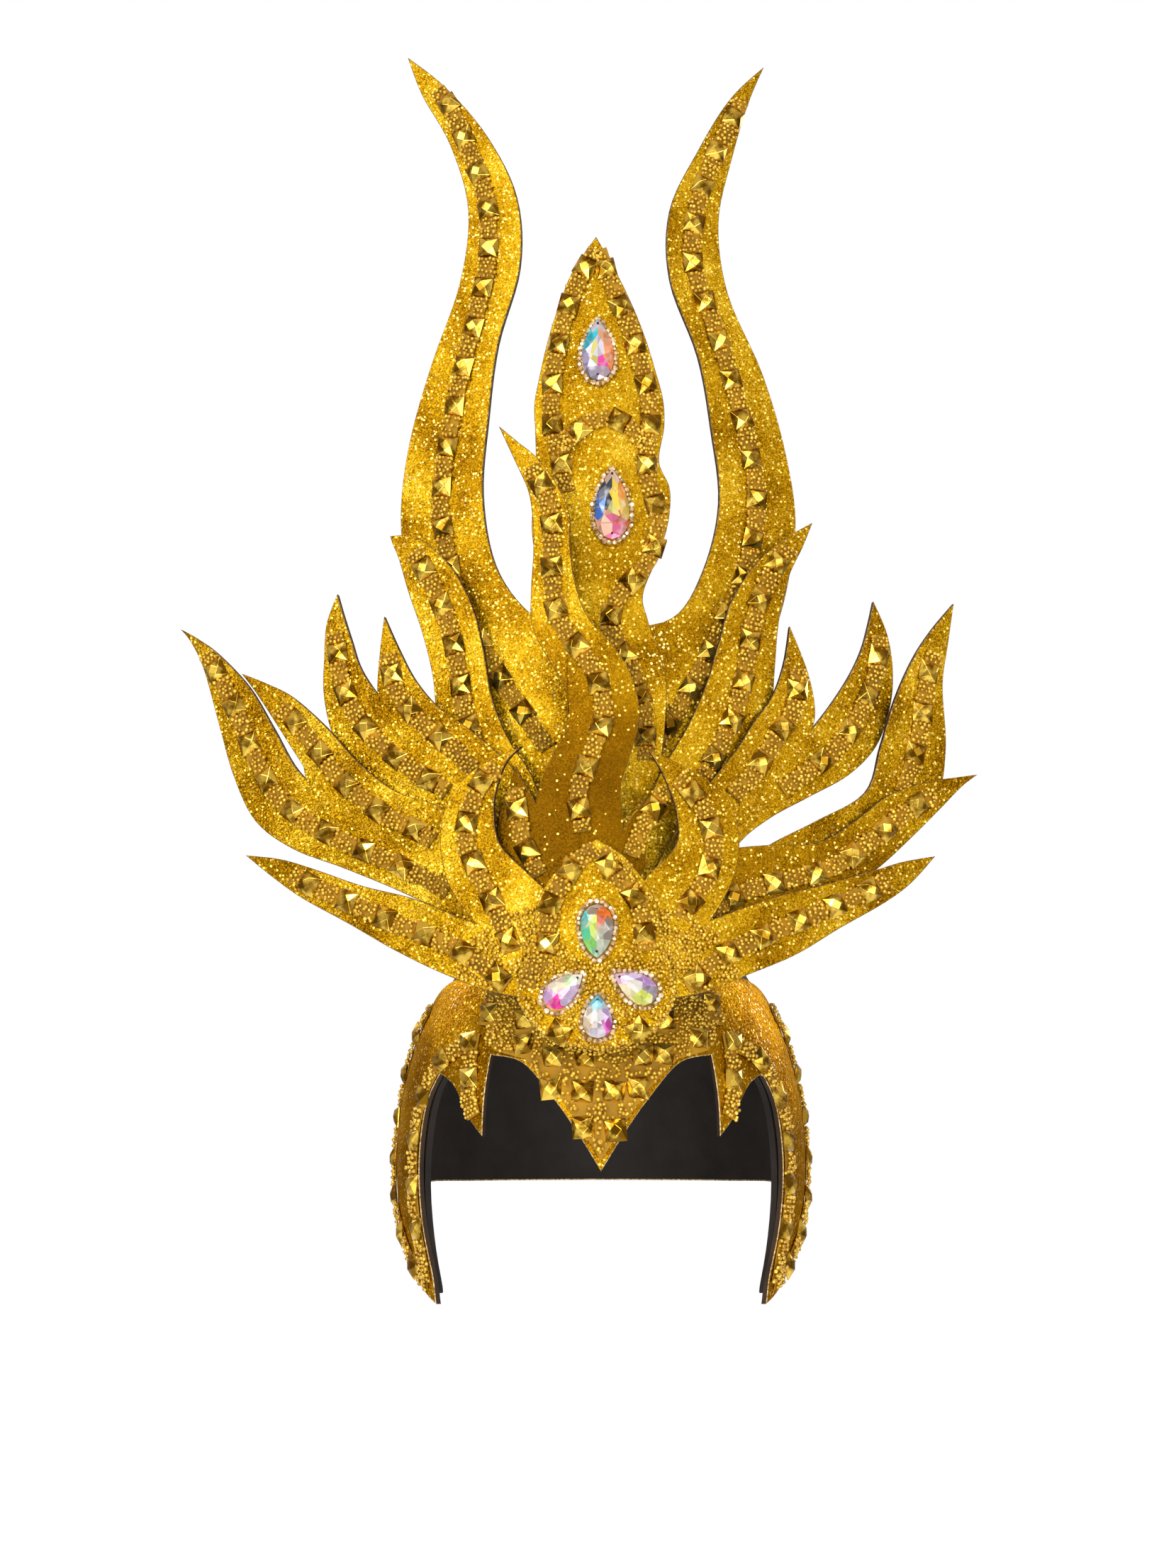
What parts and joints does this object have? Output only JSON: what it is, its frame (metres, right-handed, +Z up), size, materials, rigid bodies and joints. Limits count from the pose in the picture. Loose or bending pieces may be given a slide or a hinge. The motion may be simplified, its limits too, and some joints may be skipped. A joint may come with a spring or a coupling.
{
  "type": "carnival crown",
  "caption": "Foam carnival headdress with a domed helmet, layered glitter flames, tall horns, square stud bands and drop crystals",
  "frame": {"origin": "where the top of the wearer's head meets the inside of the dome", "axes": "+Z up, the front faces -Y, and the wearer's left side lies at +X"},
  "size_m": [0.3775, 0.2258, 0.604],
  "materials": {
    "glitter_foam": "craft foam under a yellow gold glitter skin with bright sparkles",
    "black_foam": "matt black craft foam",
    "foam_edge": "cut edge of the foam, dark brown with a pale line of glue",
    "stud_metal": "bright gold faceted square studs",
    "bead_gold": "small glassy beads, brownish gold with glints",
    "crystal_stone": "faceted foil backed stone with a rainbow sheen",
    "clear_rhinestone": "small clear stones with a faint pink tint"
  },
  "bodies": {
    "root": {"brow_studs": "stud_metal", "centre_flame": "glitter_foam", "centre_flame_studs_1": "stud_metal", "centre_flame_studs_2": "stud_metal", "centre_flame_studs_3": "stud_metal", "crystal_bottom": "crystal_stone", "crystal_left": "crystal_stone", "crystal_right": "crystal_stone", "crystal_top": "crystal_stone", "flap_studs_left": "stud_metal", "flap_studs_right": "stud_metal", "front_flame_left": "glitter_foam", "front_flame_right": "glitter_foam", "gold_shell": "glitter_foam", "horn_left": "glitter_foam", "horn_right": "glitter_foam", "horn_studs_left": "stud_metal", "horn_studs_right": "stud_metal", "inner_horn_studs_left": "stud_metal", "inner_horn_studs_right": "stud_metal", "lining_cap": "black_foam", "low_flame_right": "glitter_foam", "low_flame_right_studs_1": "stud_metal", "medallion": "glitter_foam", "medallion_low_studs_left": "stud_metal", "medallion_low_studs_right": "stud_metal", "medallion_studs": "stud_metal", "middle_flame_left": "glitter_foam", "middle_flame_left_studs_1": "stud_metal", "middle_flame_left_studs_2": "stud_metal", "middle_flame_right": "glitter_foam", "middle_flame_right_studs_1": "stud_metal", "middle_flame_right_studs_2": "stud_metal", "outer_flame_left": "glitter_foam", "outer_flame_left_studs_1": "stud_metal", "outer_flame_left_studs_2": "stud_metal", "outer_flame_right": "glitter_foam", "outer_flame_right_studs_1": "stud_metal", "rear_block": "black_foam", "spacer_1": "black_foam", "spacer_2": "black_foam", "spacer_3": "black_foam", "spacer_4": "black_foam", "spacer_5": "black_foam", "spacer_6": "black_foam", "spear_crystal_high": "crystal_stone", "spear_crystal_low": "crystal_stone", "spear_plate": "glitter_foam", "spear_studs": "stud_metal", "upper_flame_left": "glitter_foam", "upper_flame_left_studs_1": "stud_metal", "upper_flame_right": "glitter_foam", "upper_flame_right_studs_1": "stud_metal", "wing_studs_left": "stud_metal", "wing_studs_right": "stud_metal"}
  },
  "joints": []
}
